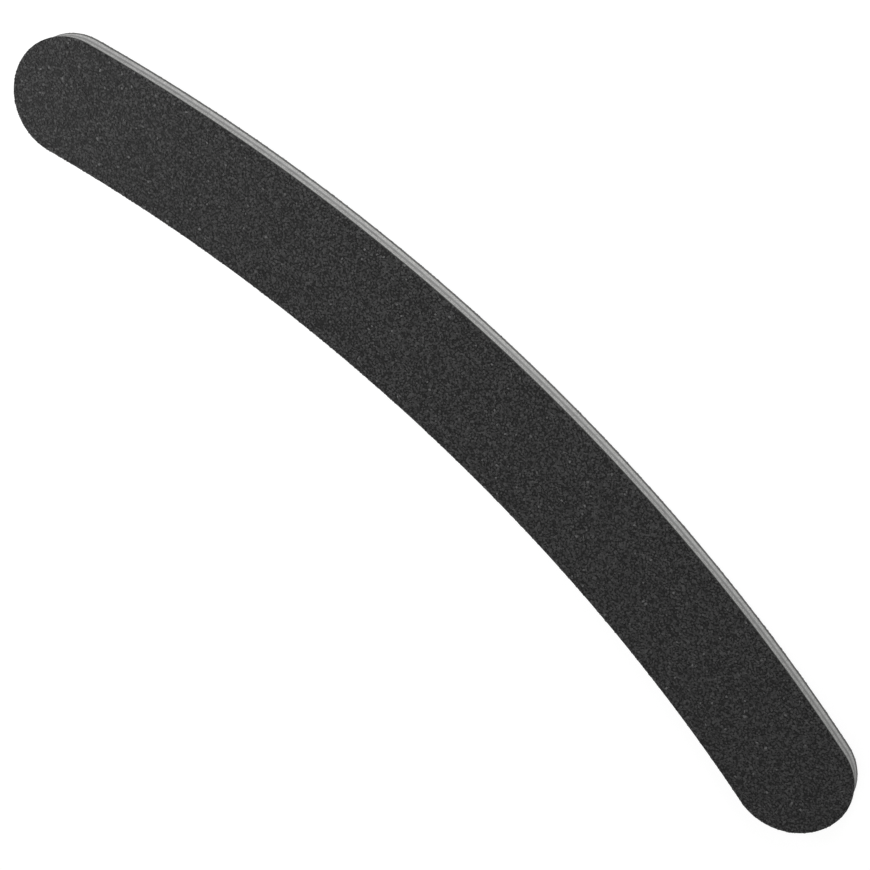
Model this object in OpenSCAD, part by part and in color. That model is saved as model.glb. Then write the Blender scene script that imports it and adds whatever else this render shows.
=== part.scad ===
// Curved emery board: a strip bent like a banana, die-cut from one laminate.
// A stiff plastic core lies between two foam cushions, and each cushion carries
// an abrasive paper whose grains face outwards. The board lies on its lower
// abrasive face, at z = 0, with +X along its length, +Y towards the bulging edge
// and the origin under the middle of its overall box. All sizes are millimetres.

/* [Outline] */
// Overall length, from tip to tip
board_l = 178; // [120:1:230]
// Width across the strip, which the round tips share
board_w = 19.5; // [14:0.5:30]
// Radius of the long inner edge, which curves inwards
inner_edge_r = 303; // [200:1:900]

/* [Layers] */
// Thickness of each abrasive coat: its grains and the resin that holds them
grit_t = 0.2; // [0.1:0.01:0.4]
// Thickness of the backing paper that carries a coat
paper_t = 0.32; // [0.15:0.01:0.5]
// Thickness of the glue film between a backing paper and its foam
sheet_glue_t = 0.08; // [0.03:0.01:0.2]
// Thickness of each foam cushion
foam_t = 1.05; // [0.5:0.05:3]
// Thickness of the glue film between a foam cushion and the core
core_glue_t = 0.04; // [0.02:0.01:0.2]
// Thickness of the plastic core
core_t = 0.62; // [0.3:0.01:2]

/* [Cut edge] */
// Radius of each coat's outer corner, where the die breaks its grains away
grit_corner_r = 0.08; // [0.02:0.01:0.09]
// How far the backing papers stop short of the coats
paper_inset = 0.03; // [0:0.01:0.1]
// How far the foam, squeezed by the die, springs back from the coats' edge
foam_inset = 0.1; // [0.02:0.01:0.3]
// Further depth of the hollow along the middle of a foam edge
foam_waist = 0.1; // [0.02:0.01:0.24]
// How far the core stops short of the coats
core_inset = 0.06; // [0:0.01:0.3]

/* [Hidden] */
$fn = 360;

grit_colour = "#3c3c3c";
paper_colour = "#2a2a2a";
glue_colour = "#8d8a80";
foam_colour = "#d6d6d6";
core_colour = "#8f8f8f";

// The strip's middle line is an arc, closed at each tip by half a turn of the section
tip_r = board_w / 2;
mid_r = inner_edge_r + tip_r;
tip_x = board_l / 2 - tip_r;
half_turn = asin(tip_x / mid_r);
rise = mid_r * (1 - cos(half_turn));
centre_y = (rise + board_w) / 2 - tip_r - mid_r;
// Angle by which each half of the strip runs past the middle
half_lap = 1;

// Underside of each layer, counted up from the face that the board lies on
bottom_grit_z = 0;
bottom_paper_z = bottom_grit_z + grit_t;
bottom_sheet_glue_z = bottom_paper_z + paper_t;
bottom_foam_z = bottom_sheet_glue_z + sheet_glue_t;
bottom_core_glue_z = bottom_foam_z + foam_t;
core_z = bottom_core_glue_z + core_glue_t;
top_core_glue_z = core_z + core_t;
top_foam_z = top_core_glue_z + core_glue_t;
top_sheet_glue_z = top_foam_z + foam_t;
top_paper_z = top_sheet_glue_z + sheet_glue_t;
top_grit_z = top_paper_z + paper_t;

// Radius of the round hollow of the given depth in an edge of the given height
function hollow_r(height, depth) = (pow(height / 2, 2) + pow(depth, 2)) / (2 * depth);

// Section across the strip of a layer with square edges, set in from the coats' edge
module square_section(t, inset) {
    translate([inset - tip_r, 0])
        square([board_w - 2 * inset, t]);
}

// Section of an abrasive coat, with its two outer corners rounded at the top
module coat_section() {
    union() {
        translate([-tip_r, 0])
            square([board_w, grit_t - grit_corner_r]);
        translate([grit_corner_r - tip_r, 0])
            square([board_w - 2 * grit_corner_r, grit_t]);
        for (side = [-1, 1])
            translate([side * (tip_r - grit_corner_r), grit_t - grit_corner_r])
                circle(r = grit_corner_r);
    }
}

// Section of a foam cushion, with each edge drawn in to a round hollow
module foam_section() {
    r = hollow_r(foam_t, foam_waist);
    difference() {
        square_section(foam_t, foam_inset);
        for (side = [-1, 1])
            translate([side * (tip_r - foam_inset + r - foam_waist), foam_t / 2])
                circle(r = r);
    }
}

// Carries a section round one tip and past the middle of the strip's arc, about the arc's
// centre, so that the two halves overlap
module half_strip() {
    rotate([0, 0, 90 - half_turn]) {
        rotate_extrude(angle = half_turn + half_lap)
            translate([mid_r, 0])
                children();
        translate([mid_r, 0, 0])
            rotate([0, 0, 180])
                rotate_extrude(angle = 180)
                    intersection() {
                        children();
                        square([board_w, board_l]);
                    }
    }
}

// Carries a section along the whole strip, from one tip round the arc to the other
module along_strip(z) {
    translate([0, centre_y, z])
        for (side = [0, 1])
            mirror([side, 0, 0])
                half_strip()
                    children();
}

// Turns a layer over, between the given lowest and highest levels
module turned_over(z, t) {
    translate([0, 0, 2 * z + t])
        mirror([0, 0, 1])
            children();
}

module grit_coat(z) {
    color(grit_colour)
        along_strip(z)
            coat_section();
}

module backing_paper(z) {
    color(paper_colour)
        along_strip(z)
            square_section(paper_t, paper_inset);
}

module glue_film(z, t) {
    color(glue_colour)
        along_strip(z)
            square_section(t, foam_inset);
}

module foam_cushion(z) {
    color(foam_colour)
        along_strip(z)
            foam_section();
}

module bottom_grit() {
    turned_over(bottom_grit_z, grit_t)
        grit_coat(bottom_grit_z);
}

module bottom_paper() {
    backing_paper(bottom_paper_z);
}

module bottom_sheet_glue() {
    glue_film(bottom_sheet_glue_z, sheet_glue_t);
}

module bottom_foam() {
    foam_cushion(bottom_foam_z);
}

module bottom_core_glue() {
    glue_film(bottom_core_glue_z, core_glue_t);
}

module core() {
    color(core_colour)
        along_strip(core_z)
            square_section(core_t, core_inset);
}

module top_core_glue() {
    glue_film(top_core_glue_z, core_glue_t);
}

module top_foam() {
    foam_cushion(top_foam_z);
}

module top_sheet_glue() {
    glue_film(top_sheet_glue_z, sheet_glue_t);
}

module top_paper() {
    backing_paper(top_paper_z);
}

module top_grit() {
    grit_coat(top_grit_z);
}

bottom_grit();
bottom_paper();
bottom_sheet_glue();
bottom_foam();
bottom_core_glue();
core();
top_core_glue();
top_foam();
top_sheet_glue();
top_paper();
top_grit();
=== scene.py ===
import math

import bmesh
import bpy
import numpy as np
from mathutils import Matrix, Vector


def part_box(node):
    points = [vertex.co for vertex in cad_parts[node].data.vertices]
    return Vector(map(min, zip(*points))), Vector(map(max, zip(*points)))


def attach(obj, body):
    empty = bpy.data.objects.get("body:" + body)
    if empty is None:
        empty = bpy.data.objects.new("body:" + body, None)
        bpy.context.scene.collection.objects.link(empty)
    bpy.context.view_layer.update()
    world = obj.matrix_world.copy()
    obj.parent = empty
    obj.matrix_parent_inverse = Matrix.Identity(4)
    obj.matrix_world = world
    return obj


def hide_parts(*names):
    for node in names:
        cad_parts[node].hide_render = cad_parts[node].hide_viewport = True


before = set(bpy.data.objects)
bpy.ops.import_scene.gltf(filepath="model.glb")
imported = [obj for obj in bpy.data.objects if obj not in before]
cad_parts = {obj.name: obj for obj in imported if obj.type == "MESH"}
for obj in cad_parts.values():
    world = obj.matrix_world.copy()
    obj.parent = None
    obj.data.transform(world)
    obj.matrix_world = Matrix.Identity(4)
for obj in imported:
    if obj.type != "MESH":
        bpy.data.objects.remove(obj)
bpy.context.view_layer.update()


# Camera
# It stands where the photograph was taken from: 0.3 m above the board, tilted out past the
# bulging edge so that the laminate shows there, and turned so that the board runs from the
# picture's upper left to its lower right. It is placed by the crown of the bulging edge.
picture_side_px = 870
focal_px = 1955.0
crown_px = (505.66, 354.19)
crown_distance = 0.3020
camera_tilt = math.radians(27.95)
camera_lean = math.radians(-0.83)
camera_turn = math.radians(-42.84)
sensor_width_mm = 36.0
nearest_seen = 0.01

face_low, face_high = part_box("top_grit")
crown = Vector((0, face_high.y, face_high.z))
crown_sight = Vector((
    (crown_px[0] - picture_side_px / 2) / focal_px,
    (picture_side_px / 2 - crown_px[1]) / focal_px,
    -1,
))
to_camera = (
    Matrix.Rotation(camera_turn, 3, "Z")
    @ Matrix.Rotation(camera_tilt, 3, "X")
    @ Matrix.Rotation(camera_lean, 3, "Y")
)
from_camera = to_camera.transposed()
camera_place = crown - from_camera @ (crown_sight * crown_distance)
camera = bpy.data.objects.new("camera", bpy.data.cameras.new("camera"))
camera.matrix_world = Matrix.Translation(camera_place) @ from_camera.to_4x4()
camera.data.sensor_width = sensor_width_mm
camera.data.lens = sensor_width_mm * focal_px / picture_side_px
camera.data.clip_start = nearest_seen
bpy.context.scene.collection.objects.link(camera)
bpy.context.scene.camera = camera


# Floor and light
# The board lies on a pale table in a light tent, whose two ends are dark, so that the edge is
# darker round the tips. One soft box hangs by the left tip, so that the tone falls towards the
# right tip, and one stands past the bulging edge and lights the laminate.
floor_side = 8.0
floor_drop = 0.00001
floor_colour = (0.80, 0.80, 0.80)
floor_seen_colour = (0.25, 0.25, 0.25)
floor_seen_glow = 0.84
backdrop_glow = 1.0
tent_light = 0.78
tent_end_light = 0.10
tent_end_from = 0.45
tent_end_to = 0.75
box_width = 0.12
box_places = {"tip": Vector((-0.162, -0.058, 0.12)), "edge": Vector((-0.045, 0.185, 0.11))}
box_aims = {"tip": Vector((face_low.x, 0, 0)), "edge": Vector((0, 0, 0))}
box_powers = {"tip": 0.152, "edge": 0.235}
white = (1, 1, 1, 1)


def add_node(tree, kind, settings=None, inputs=None):
    """A node with its settings, and with a value or another node's output on each named input."""
    made = tree.nodes.new(kind)
    for name, value in (settings or {}).items():
        setattr(made, name, value)
    for name, value in (inputs or {}).items():
        if isinstance(value, bpy.types.NodeSocket):
            tree.links.new(value, made.inputs[name])
        else:
            made.inputs[name].default_value = value
    return made


def new_material(name):
    """An empty node material, with its tree and the output that its surface goes to."""
    material = bpy.data.materials.new(name)
    material.use_nodes = True
    material.node_tree.nodes.clear()
    return material, material.node_tree, add_node(material.node_tree, "ShaderNodeOutputMaterial")


def looked_at(tree):
    """1 where a surface is seen directly, in a mirror or through glass, and 0 where it gives light."""
    path = add_node(tree, "ShaderNodeLightPath").outputs
    either = add_node(tree, "ShaderNodeMath", {"operation": "MAXIMUM"},
                      {0: path["Is Camera Ray"], 1: path["Is Glossy Ray"]})
    return add_node(tree, "ShaderNodeMath", {"operation": "MAXIMUM"},
                    {0: either.outputs[0], 1: path["Is Transmission Ray"]}).outputs[0]


pale_table, tree, output = new_material("pale_table")
lit = add_node(tree, "ShaderNodeBsdfDiffuse", None, {"Color": (*floor_colour, 1)})
seen = add_node(tree, "ShaderNodeBsdfDiffuse", None, {"Color": (*floor_seen_colour, 1)})
glow = add_node(tree, "ShaderNodeEmission", None, {"Color": white, "Strength": floor_seen_glow})
glowing = add_node(tree, "ShaderNodeAddShader", None, {0: seen.outputs[0], 1: glow.outputs[0]})
table_surface = add_node(tree, "ShaderNodeMixShader", None,
                         {0: looked_at(tree), 1: lit.outputs[0], 2: glowing.outputs[0]})
tree.links.new(table_surface.outputs[0], output.inputs["Surface"])

floor_corners = [
    (x * floor_side / 2, y * floor_side / 2, -floor_drop)
    for x, y in ((-1, -1), (1, -1), (1, 1), (-1, 1))
]
floor_mesh = bpy.data.meshes.new("floor")
floor_mesh.from_pydata(floor_corners, [], [(0, 1, 2, 3)])
floor_mesh.materials.append(pale_table)
floor = bpy.data.objects.new("floor", floor_mesh)
bpy.context.scene.collection.objects.link(floor)

world = bpy.data.worlds.new("light_tent")
world.use_nodes = True
world.node_tree.nodes.clear()
tree = world.node_tree
direction = add_node(tree, "ShaderNodeTexCoord").outputs["Generated"]
along_board = add_node(tree, "ShaderNodeSeparateXYZ", None, {0: direction}).outputs["X"]
towards_end = add_node(tree, "ShaderNodeMath", {"operation": "ABSOLUTE"}, {0: along_board})
tent_strength = add_node(tree, "ShaderNodeMapRange", {"interpolation_type": "SMOOTHSTEP"}, {
    "Value": towards_end.outputs[0], "From Min": tent_end_from, "From Max": tent_end_to,
    "To Min": tent_light, "To Max": tent_end_light,
}).outputs["Result"]
tent = add_node(tree, "ShaderNodeBackground", None, {"Color": white, "Strength": tent_strength})
backdrop = add_node(tree, "ShaderNodeBackground", None, {"Color": white, "Strength": backdrop_glow})
surroundings = add_node(tree, "ShaderNodeMixShader", None,
                        {0: looked_at(tree), 1: tent.outputs[0], 2: backdrop.outputs[0]})
add_node(tree, "ShaderNodeOutputWorld", None, {"Surface": surroundings.outputs[0]})
bpy.context.scene.world = world

for spot, box_place in box_places.items():
    lamp = bpy.data.lights.new(spot + "_soft_box", "AREA")
    lamp.shape = "DISK"
    lamp.size = box_width
    lamp.energy = box_powers[spot]
    soft_box = bpy.data.objects.new(spot + "_soft_box", lamp)
    soft_box.location = box_place
    soft_box.rotation_euler = (box_aims[spot] - box_place).to_track_quat("-Z", "Y").to_euler()
    soft_box.visible_camera = False
    bpy.context.scene.collection.objects.link(soft_box)
bpy.context.scene.view_settings.view_transform = "Standard"


# Core
# A stiff sheet of grey recycled polystyrene runs through the middle of the board. One die
# cuts the whole laminate, so every layer has the core's outline: a strip of even width, bent
# along an arc, with a half-round tip at each end. The cut leaves fine upright marks.
strip_width = 0.0195
core_inset = 0.00006
core_step = 0.0004
core_rows = 6
edge_shoulder = 0.0006
seam_gap = 0.000001
map_margin = 0.02
core_mark_width = 0.00012
core_mark_height = 0.0009
core_mark_detail = 3.0
core_mark_depth = 0.00003
core_mottle = 0.0012
core_gloss = 0.5
core_roughness = (0.38, 0.62)
core_dark = (0.135, 0.135, 0.135)
core_light = (0.20, 0.20, 0.198)
noise_span = (0.3, 0.7)

tip_radius = strip_width / 2
tip_x = (face_high.x - face_low.x) / 2 - tip_radius
bow = face_high.y - face_low.y - strip_width
arc_radius = (tip_x ** 2 + bow ** 2) / (2 * bow)
arc_middle = Vector((0, face_high.y - tip_radius - arc_radius, 0))
half_arc = math.asin(tip_x / arc_radius)
outline = {
    "Arc middle": arc_middle, "Arc radius": arc_radius, "Half angle": half_arc,
    "Tip radius": tip_radius,
}
outline_sockets = {
    "Arc middle": "Vector", "Arc radius": "Float", "Half angle": "Float", "Tip radius": "Float",
}
rim_stations = (
    (-1, 0), (-1 / 3, 0), (1 / 3, 0), (1, 0), (1, 1), (1 / 3, 1), (-1 / 3, 1), (-1, 1), (-1, 2),
)
grid_middle = (0.5, 0.5, 0)


def arithmetic(tree, operation, *values):
    """One step of arithmetic."""
    inputs = dict(enumerate(values))
    return add_node(tree, "ShaderNodeMath", {"operation": operation}, inputs).outputs[0]


def vector_math(tree, operation, first, second):
    """One step of vector arithmetic."""
    inputs = {0: first, "Scale" if operation == "SCALE" else 1: second}
    return add_node(tree, "ShaderNodeVectorMath", {"operation": operation}, inputs).outputs[0]


def joined(tree, x, y, z=0.0):
    """A vector of three numbers."""
    return add_node(tree, "ShaderNodeCombineXYZ", None, {"X": x, "Y": y, "Z": z}).outputs[0]


def parted(tree, vector):
    """A vector's three numbers."""
    return add_node(tree, "ShaderNodeSeparateXYZ", None, {0: vector}).outputs


def position(tree):
    """The place of each point of the geometry."""
    return add_node(tree, "GeometryNodeInputPosition").outputs[0]


def stored(tree, geometry, name, kind, domain, value):
    """Geometry that keeps a value under a name."""
    return add_node(tree, "GeometryNodeStoreNamedAttribute", {"data_type": kind, "domain": domain},
                    {"Geometry": geometry, "Name": name, "Value": value}).outputs[0]


def moved_to(tree, geometry, place):
    """Geometry with its points at a new place."""
    return add_node(tree, "GeometryNodeSetPosition", None,
                    {"Geometry": geometry, "Position": place}).outputs[0]


def moved_by(tree, geometry, step):
    """Geometry with its points moved by a step."""
    return add_node(tree, "GeometryNodeSetPosition", None,
                    {"Geometry": geometry, "Offset": step}).outputs[0]


def geometry_tree(name, sockets):
    """A Geometry Nodes tree with those named inputs and one for a material, and its inputs."""
    tree = bpy.data.node_groups.new(name, "GeometryNodeTree")
    for label, kind in {"Geometry": "Geometry", **sockets, "Material": "Material"}.items():
        tree.interface.new_socket(label, in_out="INPUT", socket_type="NodeSocket" + kind)
    tree.interface.new_socket("Geometry", in_out="OUTPUT", socket_type="NodeSocketGeometry")
    return tree, add_node(tree, "NodeGroupInput").outputs


def finish_tree(tree, given, geometry, smooth):
    """Ends a tree in plain geometry, smooth or faceted, with its material."""
    shaded = add_node(tree, "GeometryNodeSetShadeSmooth", None, {0: geometry, "Shade Smooth": smooth})
    whole = add_node(tree, "GeometryNodeRealizeInstances", None, {0: shaded.outputs[0]})
    painted = add_node(tree, "GeometryNodeSetMaterial", None,
                       {"Geometry": whole.outputs[0], "Material": given["Material"]})
    add_node(tree, "NodeGroupOutput", None, {"Geometry": painted.outputs[0]})


def shaped_by(tree, mesh, values):
    """The mesh that a Geometry Nodes tree makes of a mesh and the values of its named inputs."""
    name = mesh.name
    carrier = bpy.data.objects.new(name + "_carrier", mesh)
    bpy.context.scene.collection.objects.link(carrier)
    modifier = carrier.modifiers.new(tree.name, "NODES")
    modifier.node_group = tree
    for item in tree.interface.items_tree:
        if item.in_out == "INPUT" and item.name in values:
            modifier[item.identifier] = values[item.name]
    depsgraph = bpy.context.evaluated_depsgraph_get()
    made = bpy.data.meshes.new_from_object(
        carrier.evaluated_get(depsgraph), preserve_all_data_layers=True, depsgraph=depsgraph
    )
    carrier.modifiers.remove(modifier)
    bpy.data.objects.remove(carrier)
    bpy.data.meshes.remove(mesh)
    made.name = name
    return made


def swung(tree, radius, angle):
    """A step of that radius, turned clockwise by that angle from straight up."""
    return joined(
        tree,
        arithmetic(tree, "MULTIPLY", radius, arithmetic(tree, "SINE", angle)),
        arithmetic(tree, "MULTIPLY", radius, arithmetic(tree, "COSINE", angle)),
    )


def rim_stretch(tree, given, rows, number, start):
    """One stretch of a sheet, from that far along the rim, and how far along it ends.

    It lies between two stations of the rim. A station is a place along the strip, from -1 at the
    left tip's middle to 1 at the right one's, and the half turns made round the tips so far.
    Columns stand a step apart between them, and each follows the section.
    """
    (from_place, from_turns), (to_place, to_turns) = rim_stations[number:number + 2]
    place_span = to_place - from_place
    turn_span = math.pi * (to_turns - from_turns)
    straight = arithmetic(tree, "MULTIPLY", given["Arc radius"], given["Half angle"])
    length = arithmetic(tree, "MULTIPLY_ADD", straight, abs(place_span),
                        arithmetic(tree, "MULTIPLY", given["Tip radius"], turn_span))
    steps = arithmetic(tree, "CEIL", arithmetic(tree, "DIVIDE", length, given["Step"]))
    grid = add_node(tree, "GeometryNodeMeshGrid", None, {
        "Size X": 1.0, "Size Y": 1.0,
        "Vertices X": arithmetic(tree, "ADD", steps, 1.0), "Vertices Y": rows,
    }).outputs["Mesh"]
    share = parted(tree, vector_math(tree, "ADD", position(tree), grid_middle))
    row = arithmetic(tree, "MULTIPLY", share["Y"], arithmetic(tree, "SUBTRACT", rows, 1.0))
    inset, run, height = parted(tree, add_node(
        tree, "GeometryNodeSampleIndex", {"data_type": "FLOAT_VECTOR"}, {
            "Geometry": given["Geometry"], "Value": position(tree),
            "Index": arithmetic(tree, "ROUND", row),
        }).outputs[0])

    strip = arithmetic(tree, "MULTIPLY_ADD", share["Y"], 1 - 2 * map_margin, number + map_margin)
    on_bake = joined(tree, share["X"], arithmetic(tree, "DIVIDE", strip, len(rim_stations) - 1.0))
    on_cut = joined(tree, arithmetic(tree, "MULTIPLY_ADD", share["X"], length, start), run)
    mapped = stored(tree, grid, "OFBake", "FLOAT2", "CORNER", on_bake)
    mapped = stored(tree, mapped, "cut_edge", "FLOAT2", "CORNER", on_cut)

    along_arc = arithmetic(tree, "MULTIPLY", given["Half angle"],
                           arithmetic(tree, "MULTIPLY_ADD", share["X"], place_span, from_place))
    turned = arithmetic(tree, "MULTIPLY_ADD", share["X"], turn_span, math.pi * from_turns)
    reach = arithmetic(tree, "SUBTRACT", given["Tip radius"], inset)
    outwards = swung(tree, reach, arithmetic(tree, "ADD", along_arc, turned))
    on_arc = vector_math(tree, "ADD", given["Arc middle"], swung(tree, given["Arc radius"], along_arc))
    raised = vector_math(tree, "ADD", on_arc, joined(tree, 0.0, 0.0, height))
    stretch = moved_to(tree, mapped, vector_math(tree, "ADD", raised, outwards))
    return stretch, arithmetic(tree, "ADD", start, length)


swept_sheet, given = geometry_tree("swept_sheet", {**outline_sockets, "Step": "Float"})
rows = add_node(swept_sheet, "GeometryNodeAttributeDomainSize", None,
                {"Geometry": given["Geometry"]}).outputs["Point Count"]
whole_rim = add_node(swept_sheet, "GeometryNodeJoinGeometry")
rim_start = 0.0
for number in range(len(rim_stations) - 1):
    stretch, rim_start = rim_stretch(swept_sheet, given, rows, number, rim_start)
    swept_sheet.links.new(stretch, whole_rim.inputs[0])
closed = add_node(swept_sheet, "GeometryNodeMergeByDistance", None,
                  {"Geometry": whole_rim.outputs[0], "Distance": seam_gap})
finish_tree(swept_sheet, given, closed.outputs[0], True)


def sheet_mesh(name, section, step, material):
    """A sheet with that section all round the outline."""
    inset, height = np.transpose(section)
    run = np.concatenate(([0], np.cumsum(np.hypot(np.diff(inset), np.diff(height)))))
    line = bpy.data.meshes.new(name)
    line.from_pydata(
        np.column_stack((inset, run, height)).tolist(), [(n, n + 1) for n in range(len(run) - 1)], []
    )
    mesh = shaped_by(swept_sheet, line, {**outline, "Step": step, "Material": material})
    shape = bmesh.new()
    shape.from_mesh(mesh)
    bmesh.ops.recalc_face_normals(shape, faces=shape.faces)
    shape.to_mesh(mesh)
    shape.free()
    return mesh


def edge_section(node, inset, hollow, rows):
    """The section of a node's layer, as (inset, height) pairs from the middle of its underside.

    It runs out, up the edge and back to the middle of the top. The edge lies in from the outline
    by inset, and in by hollow more at mid height.
    """
    low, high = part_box(node)
    share = np.linspace(0, 1, rows + 1)
    edge_inset = inset + hollow * (1 - (2 * share - 1) ** 2)
    edge = np.column_stack((edge_inset, low.z + share * (high.z - low.z)))
    under = [(tip_radius, low.z), (inset + edge_shoulder, low.z)]
    over = [(inset + edge_shoulder, high.z), (tip_radius, high.z)]
    return np.vstack((under, edge, over))


def place_piece(mesh, material, node):
    """Puts a finished mesh, of one material, on the board in place of a CAD node."""
    mesh.materials.clear()
    mesh.materials.append(material)
    piece = bpy.data.objects.new(mesh.name, mesh)
    bpy.context.scene.collection.objects.link(piece)
    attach(piece, "root")
    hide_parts(node)


def object_place(tree):
    """A surface's place in metres."""
    return add_node(tree, "ShaderNodeTexCoord").outputs["Object"]


def noise(tree, vector, size, detail=2.0):
    """Noise from 0 to 1, whose blotches are about that size in metres."""
    return add_node(tree, "ShaderNodeTexNoise", None,
                    {"Vector": vector, "Scale": 1 / size, "Detail": detail}).outputs["Fac"]


def edge_marks(tree, width, height, detail):
    """Fine upright marks of about that size on the cut edge, from 0 to 1."""
    cut = add_node(tree, "ShaderNodeUVMap", {"uv_map": "cut_edge"}).outputs[0]
    return add_node(tree, "ShaderNodeTexNoise", {"noise_dimensions": "2D"}, {
        "Vector": vector_math(tree, "MULTIPLY", cut, (1 / width, 1 / height, 0)),
        "Scale": 1.0, "Detail": detail,
    }).outputs["Fac"]


def blended_colour(tree, factor, low, high):
    """A colour between two, which uses their whole span for the middle range of the factor."""
    spread = add_node(tree, "ShaderNodeMapRange", None, {
        "Value": factor, "From Min": noise_span[0], "From Max": noise_span[1],
    }).outputs["Result"]
    return add_node(tree, "ShaderNodeMix", {"data_type": "RGBA"},
                    {"Factor": spread, "A": (*low, 1), "B": (*high, 1)}).outputs["Result"]


def blended_value(tree, factor, low, high):
    """A number from low to high as the factor goes from 0 to 1."""
    return add_node(tree, "ShaderNodeMapRange", None,
                    {"Value": factor, "To Min": low, "To Max": high}).outputs["Result"]


def add_surface(tree, output, gloss, colour, roughness, relief=None, depth=0.0):
    """A surface of that gloss, colour and roughness, and with that relief where one is given."""
    shader = add_node(tree, "ShaderNodeBsdfPrincipled", None, {
        "Base Color": colour, "Roughness": roughness, "Specular IOR Level": gloss,
    })
    if relief is not None:
        bump = add_node(tree, "ShaderNodeBump", None, {"Height": relief, "Distance": depth})
        tree.links.new(bump.outputs[0], shader.inputs["Normal"])
    tree.links.new(shader.outputs[0], output.inputs["Surface"])


grey_polystyrene, tree, output = new_material("grey_polystyrene")
marks = edge_marks(tree, core_mark_width, core_mark_height, core_mark_detail)
mottle = noise(tree, object_place(tree), core_mottle)
add_surface(
    tree, output, core_gloss, blended_colour(tree, mottle, core_dark, core_light),
    blended_value(tree, marks, *core_roughness), marks, core_mark_depth,
)
section = edge_section("core", core_inset, 0.0, core_rows)
mesh = sheet_mesh("core_sheet", section, core_step, grey_polystyrene)
place_piece(mesh, grey_polystyrene, "core")


# Glue films on the core
# A film of clear acrylic glue on each side of the core holds the foam. The die squeezes it,
# so its edge lies a little in from the core's and shines.
sides = ("bottom", "top")
glue_inset = 0.0001
glue_step = 0.0004
glue_rows = 3
glue_blotch = 0.0005
glue_ripple = 0.00001
glue_gloss = 0.5
glue_roughness = (0.15, 0.4)
glue_dark = (0.145, 0.141, 0.132)
glue_light = (0.24, 0.235, 0.224)

acrylic_glue, tree, output = new_material("acrylic_glue")
blotches = noise(tree, object_place(tree), glue_blotch)
add_surface(
    tree, output, glue_gloss, blended_colour(tree, blotches, glue_dark, glue_light),
    blended_value(tree, blotches, *glue_roughness), blotches, glue_ripple,
)


def place_glue_film(node):
    """Puts a film of glue in place of a CAD node."""
    section = edge_section(node, glue_inset, 0.0, glue_rows)
    mesh = sheet_mesh(node + "_film", section, glue_step, acrylic_glue)
    place_piece(mesh, acrylic_glue, node)


for side in sides:
    place_glue_film(side + "_core_glue")


# Foam cushions
# Closed-cell EVA foam gives the board its spring. The die squeezes it and it springs back,
# so its edge is hollow, and the cut opens the fine cells, which show as pores, with painted
# shade in them. The lower cushion is the paler one in the photograph. Both are one foam:
# the upper one's darker colour is painted shade, and the lower one's paler colour painted light.
foam_inset = 0.0001
foam_hollow = 0.0001
foam_rows = 14
foam_step = 0.00009
pit_bottom_radius = 0.1
pit_rim_radius = 0.6
upright_limit = 0.5
cell_size = 0.00025
cell_depth = 0.00006
cell_relief = 0.00003
foam_gloss = 0.3
foam_roughness = (0.95, 0.7)
# Pore and wall colours of each cushion. The cushions are one foam: the upper one's darker pair
# is painted shade, and the lower one's paler pair is painted light.
foam_lit_and_shaded_colours = {
    "bottom": ((0.305, 0.305, 0.30), (0.455, 0.455, 0.447)),
    "top": ((0.235, 0.235, 0.231), (0.36, 0.36, 0.353)),
}


def cells(tree, vector, scale):
    """How far a place lies from the middle of its cell, in cells."""
    return add_node(tree, "ShaderNodeTexVoronoi", {"feature": "F1"},
                    {"Vector": vector, "Scale": scale}).outputs["Distance"]


pitted_edge, given = geometry_tree("pitted_edge", {"Pit size": "Float", "Pit depth": "Float"})
tree = pitted_edge
from_pit = cells(tree, position(tree), arithmetic(tree, "DIVIDE", 1.0, given["Pit size"]))
depth_share = add_node(tree, "ShaderNodeMapRange", {"interpolation_type": "SMOOTHSTEP"}, {
    "Value": from_pit, "From Min": pit_bottom_radius, "From Max": pit_rim_radius,
    "To Min": -1.0, "To Max": 0.0,
}).outputs["Result"]
facing = add_node(tree, "GeometryNodeInputNormal").outputs[0]
levelness = arithmetic(tree, "ABSOLUTE", parted(tree, facing)["Z"])
upright = arithmetic(tree, "LESS_THAN", levelness, upright_limit)
edge_share = arithmetic(tree, "MULTIPLY", depth_share, upright)
push = arithmetic(tree, "MULTIPLY", edge_share, given["Pit depth"])
pitted = moved_by(tree, given["Geometry"], vector_math(tree, "SCALE", facing, push))
finish_tree(tree, given, pitted, True)


def pitted_sheet(name, section, step, pit_size, pit_depth, material):
    """A sheet with that section, whose cut edge has pits of about that size and depth."""
    sheet = sheet_mesh(name, section, step, material)
    return shaped_by(pitted_edge, sheet, {
        "Pit size": pit_size, "Pit depth": pit_depth, "Material": material,
    })


for side in sides:
    eva_foam, tree, output = new_material(side + "_eva_foam")
    # The colour is darker at each cell's middle: painted shade in the open pores.
    from_cell = cells(tree, object_place(tree), 1 / cell_size)
    add_surface(
        tree, output, foam_gloss, blended_colour(tree, from_cell, *foam_lit_and_shaded_colours[side]),
        blended_value(tree, from_cell, *foam_roughness), from_cell, cell_relief,
    )
    section = edge_section(side + "_foam", foam_inset, foam_hollow, foam_rows)
    mesh = pitted_sheet(side + "_foam_cushion", section, foam_step, cell_size, cell_depth, eva_foam)
    place_piece(mesh, eva_foam, side + "_foam")


# Glue films on the foam
# The abrasive paper comes with its own tacky glue film, thicker than the core's because it
# has to fill the foam's open cells.
for side in sides:
    place_glue_film(side + "_sheet_glue")


# Backing papers
# The grains are carried by dark, latex-soaked paper. Its cut edge is matte, and frayed a
# little where the die tears the last fibres. The lower paper is the paler one in the
# photograph.
paper_inset = 0.00003
paper_rows = 5
paper_step = 0.00025
fibre_size = 0.00012
fibre_detail = 6.0
fray_depth = 0.00003
fibre_relief = 0.00003
paper_gloss = 0.2
paper_roughness = (0.75, 0.95)
paper_colours = {
    "bottom": ((0.072, 0.072, 0.071), (0.170, 0.170, 0.167)),
    "top": ((0.016, 0.016, 0.016), (0.046, 0.046, 0.045)),
}

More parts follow.
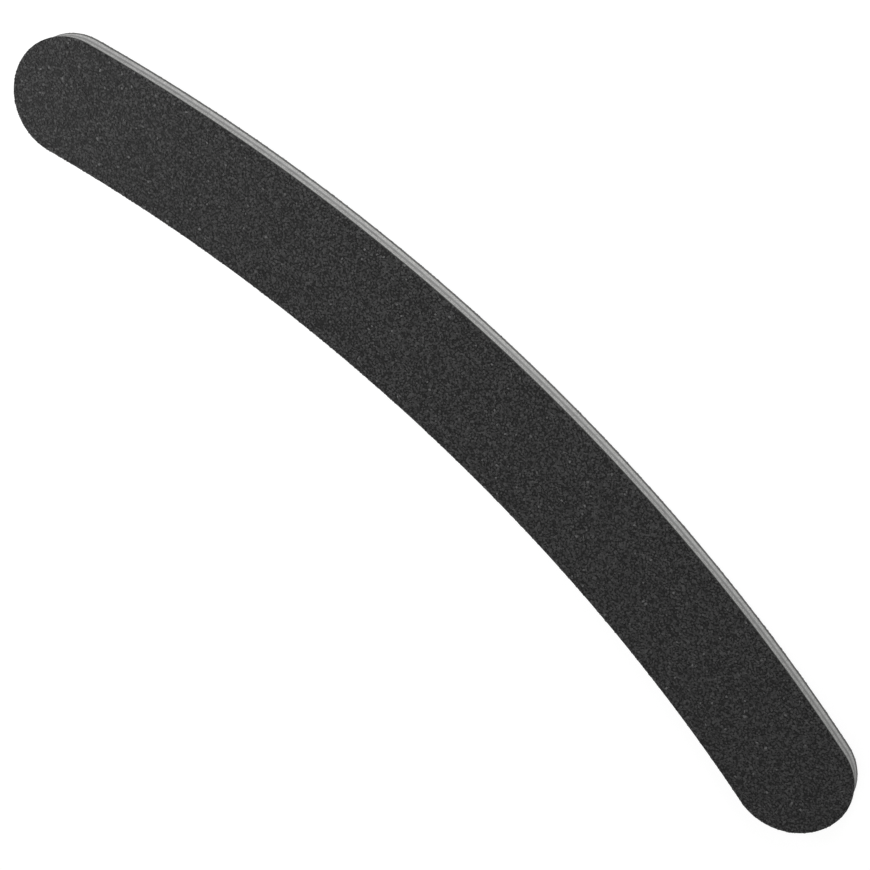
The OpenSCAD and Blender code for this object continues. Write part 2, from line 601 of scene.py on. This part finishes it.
for side in sides:
    latex_paper, tree, output = new_material(side + "_latex_paper")
    fibres = noise(tree, object_place(tree), fibre_size, fibre_detail)
    add_surface(
        tree, output, paper_gloss, blended_colour(tree, fibres, *paper_colours[side]),
        blended_value(tree, fibres, *paper_roughness), fibres, fibre_relief,
    )
    section = edge_section(side + "_paper", paper_inset, 0.0, paper_rows)
    mesh = pitted_sheet(
        side + "_backing_paper", section, paper_step, fibre_size, fray_depth, latex_paper
    )
    place_piece(mesh, latex_paper, side + "_paper")


# Resin coats
# Two coats of dark resin fix the grains to the paper. The film is thinner than the grains
# are tall, and it creeps up between them, so that it is lumpy all over.
resin_inset = 0.00001
resin_share = 0.42
resin_step = 0.0003
resin_relief = 0.00003
resin_lump = 0.00035
resin_crest = 0.75
resin_sheen_patch = 2 * resin_lump
resin_ripple_size = resin_lump / 4
resin_ripple_detail = 4.0
resin_ripple = 0.00002
resin_gloss = 0.10
resin_roughness = (0.35, 0.6)
resin_dark = (0.008, 0.008, 0.008)
resin_light = (0.022, 0.022, 0.022)

crept_film, given = geometry_tree("crept_film", {"Lump size": "Float", "Relief": "Float"})
tree = crept_film
lumps = add_node(tree, "ShaderNodeTexNoise", None, {
    "Vector": position(tree), "Scale": arithmetic(tree, "DIVIDE", 1.0, given["Lump size"]),
}).outputs["Fac"]
below_crest = arithmetic(tree, "SUBTRACT", lumps, resin_crest)
push = arithmetic(tree, "MULTIPLY", below_crest, given["Relief"])
facing = add_node(tree, "GeometryNodeInputNormal").outputs[0]
lumpy = moved_by(tree, given["Geometry"], vector_math(tree, "SCALE", facing, push))
finish_tree(tree, given, lumpy, True)


def coat_levels(side):
    """The heights of a coat's paper and of its grains' tips."""
    low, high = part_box(side + "_grit")
    return (low.z, high.z) if side == "top" else (high.z, low.z)


def film_section(side):
    """The section of a resin film, from its paper round the edge and over its open face."""
    paper, tips = coat_levels(side)
    film = paper + resin_share * (tips - paper)
    face_inset = np.linspace(resin_inset, tip_radius, round(tip_radius / resin_step))
    face = np.column_stack((face_inset, np.full(len(face_inset), film)))
    edge = [(tip_radius, paper), (resin_inset, paper), (resin_inset, (paper + film) / 2)]
    return np.vstack((edge, face))


dark_resin, tree, output = new_material("dark_resin")
place = object_place(tree)
add_surface(
    tree, output, resin_gloss,
    blended_colour(tree, noise(tree, place, resin_lump), resin_dark, resin_light),
    blended_value(tree, noise(tree, place, resin_sheen_patch), *resin_roughness),
    noise(tree, place, resin_ripple_size, resin_ripple_detail), resin_ripple,
)
for side in sides:
    sheet = sheet_mesh(side + "_resin_coat", film_section(side), resin_step, dark_resin)
    mesh = shaped_by(crept_film, sheet, {
        "Lump size": resin_lump, "Relief": resin_relief, "Material": dark_resin,
    })
    place_piece(mesh, dark_resin, side + "_grit")


# Abrasive grains
# Black silicon carbide, crushed and sieved to one grade, stands in the resin: sharp, blocky
# crystals turned at random, paler or darker with their neighbours. A few are painted far
# paler, a painted glint for a facet that catches the light. The die cuts them flush with the
# outline. They are kept in stretches along the board.
grain_size = 0.00032
grain_scales = (0.55, 1.25)
grain_spacing = 0.00028
grain_crowding = 1.3
grain_field_inset = 0.00003
grain_field_step = 0.001
grain_seat_share = 0.48
grain_flatness = 0.62
grain_chipping = 0.24
grain_stretches = 4
grain_map_cells = 80.0
grain_map_margin = 0.05
grain_cluster = 0.0004
grain_cluster_detail = 1.0
grain_cluster_tone = 1.4
grain_own_tone = 0.2
grain_base_tone = -0.35
# A small share of the grains is painted much paler: a painted glint, as if a facet caught the light.
grain_painted_glint = 1.1
grain_painted_glint_share = 0.008
grain_gloss = 0.10
grain_roughness = 0.45
grain_dark = (0.015, 0.015, 0.015)
grain_light = (0.080, 0.080, 0.080)
sowing_seeds = {"bottom": 8, "top": 3}
turn_seed = 11
scale_seed = 12
tone_seed = 13
chip_seed = 14


def random_vector(tree, low, high, seed):
    """A random vector for each element, with each of its numbers between low and high."""
    return add_node(tree, "FunctionNodeRandomValue", {"data_type": "FLOAT_VECTOR"},
                    {0: (low, low, low), 1: (high, high, high), "Seed": seed}).outputs[0]


def kept_value(tree, name, kind):
    """The value that the geometry keeps under a name."""
    return add_node(tree, "GeometryNodeInputNamedAttribute", {"data_type": kind},
                    {"Name": name}).outputs["Attribute"]


def held_between(tree, value, low, high):
    """A value, or the nearer of two limits where it lies past them."""
    return arithmetic(tree, "MINIMUM", arithmetic(tree, "MAXIMUM", value, low), high)


def cut_to_outline(tree, given, place):
    """A place, drawn back to the wall that the die cuts where it lies past it."""
    x, y, z = parted(tree, vector_math(tree, "SUBTRACT", place, given["Arc middle"]))
    last_angle = given["Half angle"]
    angle = held_between(tree, arithmetic(tree, "ARCTAN2", x, y),
                         arithmetic(tree, "MULTIPLY", last_angle, -1.0), last_angle)
    on_arc = swung(tree, given["Arc radius"], angle)
    outwards = vector_math(tree, "SUBTRACT", joined(tree, x, y), on_arc)
    reach = add_node(tree, "ShaderNodeVectorMath", {"operation": "LENGTH"},
                     {0: outwards}).outputs["Value"]
    share = arithmetic(tree, "MINIMUM", arithmetic(tree, "DIVIDE", given["Tip radius"], reach), 1.0)
    level = vector_math(tree, "ADD", on_arc, vector_math(tree, "SCALE", outwards, share))
    raised = vector_math(tree, "ADD", level, joined(tree, 0.0, 0.0, z))
    return vector_math(tree, "ADD", raised, given["Arc middle"])


sown_grains, given = geometry_tree("sown_grains", {
    **outline_sockets, "Grain size": "Float", "Spacing": "Float", "Chipping": "Float",
    "Cluster": "Float", "Seat": "Float", "Flatness": "Float", "Lowest": "Float", "Highest": "Float",
    "Painted glint": "Float", "Painted glint share": "Float", "From": "Float", "To": "Float",
    "Map cells": "Float", "Seed": "Int",
})
tree = sown_grains
closest = arithmetic(tree, "MULTIPLY", given["Spacing"], given["Spacing"])
sown = add_node(tree, "GeometryNodeDistributePointsOnFaces", {"distribute_method": "POISSON"}, {
    "Mesh": given["Geometry"], "Distance Min": given["Spacing"],
    "Density Max": arithmetic(tree, "DIVIDE", grain_crowding, closest), "Seed": given["Seed"],
}).outputs["Points"]
along = parted(tree, position(tree))["X"]
elsewhere = arithmetic(
    tree, "MAXIMUM", arithmetic(tree, "LESS_THAN", along, given["From"]),
    arithmetic(tree, "GREATER_THAN", along, given["To"]),
)
kept = add_node(tree, "GeometryNodeDeleteGeometry", {"domain": "POINT"},
                {"Geometry": sown, "Selection": elsewhere}).outputs[0]

crystal = add_node(tree, "GeometryNodeMeshCube", None,
                   {"Size": vector_math(tree, "SCALE", (1, 1, 1), given["Grain size"])}).outputs
own_map = stored(tree, crystal["Mesh"], "own_map", "FLOAT_VECTOR", "CORNER", crystal["UV Map"])
standing = add_node(tree, "GeometryNodeInstanceOnPoints", None, {
    "Points": kept, "Instance": own_map,
    "Rotation": random_vector(tree, 0.0, 2 * math.pi, turn_seed),
    "Scale": random_vector(tree, *grain_scales, scale_seed),
}).outputs[0]

clusters = add_node(tree, "ShaderNodeTexNoise", None, {
    "Vector": position(tree), "Scale": arithmetic(tree, "DIVIDE", 1.0, given["Cluster"]),
    "Detail": grain_cluster_detail,
}).outputs["Fac"]
chance = add_node(tree, "FunctionNodeRandomValue", {"data_type": "FLOAT"},
                  {"Seed": tone_seed}).outputs[1]
shared_tone = arithmetic(tree, "MULTIPLY_ADD", clusters, grain_cluster_tone, grain_base_tone)
plain_tone = arithmetic(tree, "MULTIPLY_ADD", chance, grain_own_tone, shared_tone)
# The few grains under that share get the painted glint on top of their tone.
painted_glints = arithmetic(tree, "LESS_THAN", chance, given["Painted glint share"])
tone = arithmetic(tree, "MULTIPLY_ADD", painted_glints, given["Painted glint"], plain_tone)
toned = stored(tree, standing, "tone", "FLOAT", "INSTANCE", tone)
numbered = stored(tree, toned, "cell", "FLOAT", "INSTANCE",
                  add_node(tree, "GeometryNodeInputIndex").outputs[0])
loose = add_node(tree, "GeometryNodeRealizeInstances", None, {0: numbered}).outputs[0]

chips = vector_math(tree, "SCALE", random_vector(tree, -1.0, 1.0, chip_seed),
                    arithmetic(tree, "MULTIPLY", given["Chipping"], given["Grain size"]))
chipped = moved_to(tree, loose, vector_math(tree, "ADD", position(tree), chips))
x, y, z = parted(tree, position(tree))
flattened = arithmetic(tree, "MULTIPLY_ADD", arithmetic(tree, "SUBTRACT", z, given["Seat"]),
                       given["Flatness"], given["Seat"])
height = held_between(tree, flattened, given["Lowest"], given["Highest"])
levelled = moved_to(tree, chipped, cut_to_outline(tree, given, joined(tree, x, y, height)))

cell = kept_value(tree, "cell", "FLOAT")
column = arithmetic(tree, "MODULO", cell, given["Map cells"])
row = arithmetic(tree, "FLOOR", arithmetic(tree, "DIVIDE", cell, given["Map cells"]))
in_cell = vector_math(tree, "SCALE", kept_value(tree, "own_map", "FLOAT_VECTOR"),
                      1 - 2 * grain_map_margin)
set_in = vector_math(tree, "ADD", in_cell, (grain_map_margin, grain_map_margin, 0))
on_bake = vector_math(tree, "SCALE", vector_math(tree, "ADD", set_in, joined(tree, column, row)),
                      arithmetic(tree, "DIVIDE", 1.0, given["Map cells"]))
remapped = stored(tree, levelled, "OFBake", "FLOAT2", "CORNER", on_bake)
finish_tree(tree, given, remapped, False)

silicon_carbide, tree, output = new_material("silicon_carbide")
tone = add_node(tree, "ShaderNodeAttribute", {"attribute_name": "tone"}).outputs["Fac"]
# A tone above 1 gives the painted glint's paler colour.
colour = add_node(tree, "ShaderNodeMix", {"data_type": "RGBA", "clamp_factor": False},
                  {"Factor": tone, "A": (*grain_dark, 1), "B": (*grain_light, 1)}).outputs["Result"]
add_surface(tree, output, grain_gloss, colour, grain_roughness)

for side in sides:
    paper, tips = coat_levels(side)
    seat = paper + grain_seat_share * (tips - paper)
    field_section = [(grain_field_inset, seat), (tip_radius, seat)]
    low_corner, high_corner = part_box(side + "_grit")
    cuts = np.linspace(low_corner.x, high_corner.x, grain_stretches + 1).tolist()
    for number in range(grain_stretches):
        name = f"{side}_grains_{number + 1}"
        field = sheet_mesh(name, field_section, grain_field_step, silicon_carbide)
        mesh = shaped_by(sown_grains, field, {
            **outline, "Grain size": grain_size, "Spacing": grain_spacing,
            "Chipping": grain_chipping, "Cluster": grain_cluster, "Seat": seat,
            "Flatness": grain_flatness, "Lowest": low_corner.z, "Highest": high_corner.z,
            "Painted glint": grain_painted_glint, "Painted glint share": grain_painted_glint_share,
            "From": cuts[number], "To": cuts[number + 1],
            "Map cells": grain_map_cells, "Seed": sowing_seeds[side],
            "Material": silicon_carbide,
        })
        place_piece(mesh, silicon_carbide, side + "_grit")
